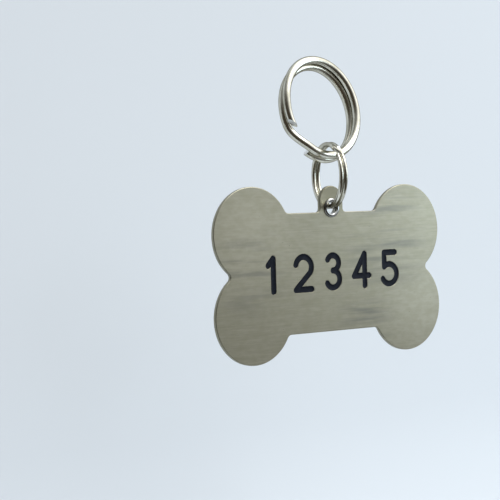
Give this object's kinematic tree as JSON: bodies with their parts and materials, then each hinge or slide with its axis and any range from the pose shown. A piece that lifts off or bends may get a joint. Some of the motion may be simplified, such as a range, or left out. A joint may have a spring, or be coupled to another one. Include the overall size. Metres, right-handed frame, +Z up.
{
  "type": "pet id tag",
  "caption": "Bone-shaped engraved metal pet id tag with an eyelet, hanging from a small split ring on a large split ring that clips to a collar.",
  "frame": {"origin": "hang point: inside top of the large split ring, midway between its two turns, where a collar's loop bears", "axes": "+Z up, the engraved face looks to -Y, X runs along the bone's length"},
  "size_m": [0.0448, 0.0099, 0.0461],
  "materials": {
    "ring_metal": "polished nickel plate on steel wire",
    "tag_metal": "brushed along the tag's length",
    "eyelet_metal": "polished nickel plate",
    "enamel": "dark blue-black enamel, satin"
  },
  "bodies": {
    "large_ring": {"large_split_ring": "ring_metal"},
    "small_ring": {"small_split_ring": "ring_metal"},
    "tag": {"tag_plate": "tag_metal", "eyelet": "eyelet_metal", "enamel_1": "enamel", "enamel_2": "enamel", "enamel_3": "enamel", "enamel_4": "enamel", "enamel_5": "enamel"}
  },
  "joints": [
    {"name": "small_ring_swing", "type": "hinge", "parent": "large_ring", "child": "small_ring", "pos_m": [0.00047, -0.00295, -0.01404], "axis": [0.9877, 0.1564, 0], "range_deg": [-150, 130]},
    {"name": "tag_swing", "type": "hinge", "parent": "small_ring", "child": "tag", "pos_m": [0.00047, -0.00295, -0.02182], "axis": [0.2419, 0.9703, 0], "range_deg": [-40, 40]}
  ]
}
